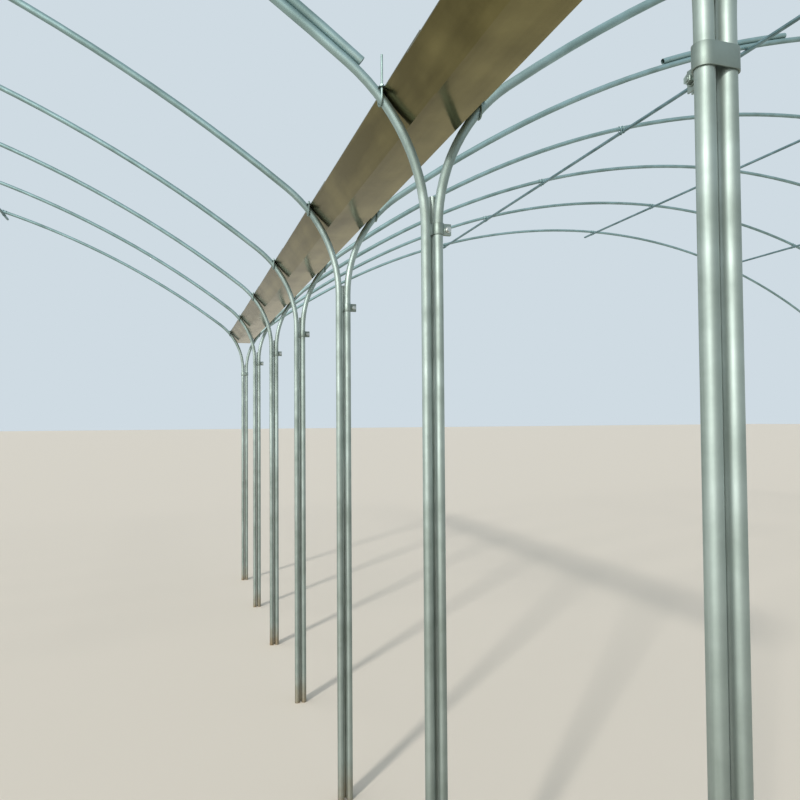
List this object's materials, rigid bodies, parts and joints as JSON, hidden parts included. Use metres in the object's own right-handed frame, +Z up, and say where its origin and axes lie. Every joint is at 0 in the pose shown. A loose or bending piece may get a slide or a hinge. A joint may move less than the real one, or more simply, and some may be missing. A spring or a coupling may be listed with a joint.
{
  "type": "multi-span greenhouse frame",
  "caption": "Bare frame of a multi-span tunnel greenhouse: bent steel tube arches strapped to ground stakes, with purlins, side rails and a folded sheet gutter along the valley.",
  "frame": {"origin": "on the ground, in the middle of the frame, under the valley gutter", "axes": "+X across the spans, +Y along the valley, +Z up"},
  "size_m": [15.0066, 6.3, 3.5286],
  "materials": {
    "arch_tube": "weathered galvanised",
    "stake_tube": "weathered galvanised",
    "rail_tube": "weathered galvanised",
    "strap_steel": "weathered galvanised",
    "gutter_sheet": "weathered galvanised"
  },
  "bodies": {
    "root": {"left_arch_1": "arch_tube", "left_arch_2": "arch_tube", "left_arch_3": "arch_tube", "left_arch_4": "arch_tube", "left_arch_5": "arch_tube", "left_arch_6": "arch_tube", "left_arch_7": "arch_tube", "right_arch_1": "arch_tube", "right_arch_2": "arch_tube", "right_arch_3": "arch_tube", "right_arch_4": "arch_tube", "right_arch_5": "arch_tube", "right_arch_6": "arch_tube", "right_arch_7": "arch_tube", "left_stakes": "stake_tube", "valley_stakes": "stake_tube", "right_stakes": "stake_tube", "left_straps": "strap_steel", "valley_straps": "strap_steel", "right_straps": "strap_steel", "left_valley_purlin": "rail_tube", "left_ridge_purlin": "rail_tube", "left_outer_purlin": "rail_tube", "right_valley_purlin": "rail_tube", "right_ridge_purlin": "rail_tube", "right_outer_purlin": "rail_tube", "left_side_rail": "rail_tube", "right_side_rail": "rail_tube", "left_lapped_tube": "rail_tube", "right_lapped_tube": "rail_tube", "gutter_sheet_1": "gutter_sheet", "gutter_sheet_2": "gutter_sheet", "gutter_sheet_3": "gutter_sheet", "gutter_sheet_4": "gutter_sheet", "gutter_sheet_5": "gutter_sheet", "gutter_sheet_6": "gutter_sheet", "gutter_sheet_7": "gutter_sheet"}
  },
  "joints": []
}
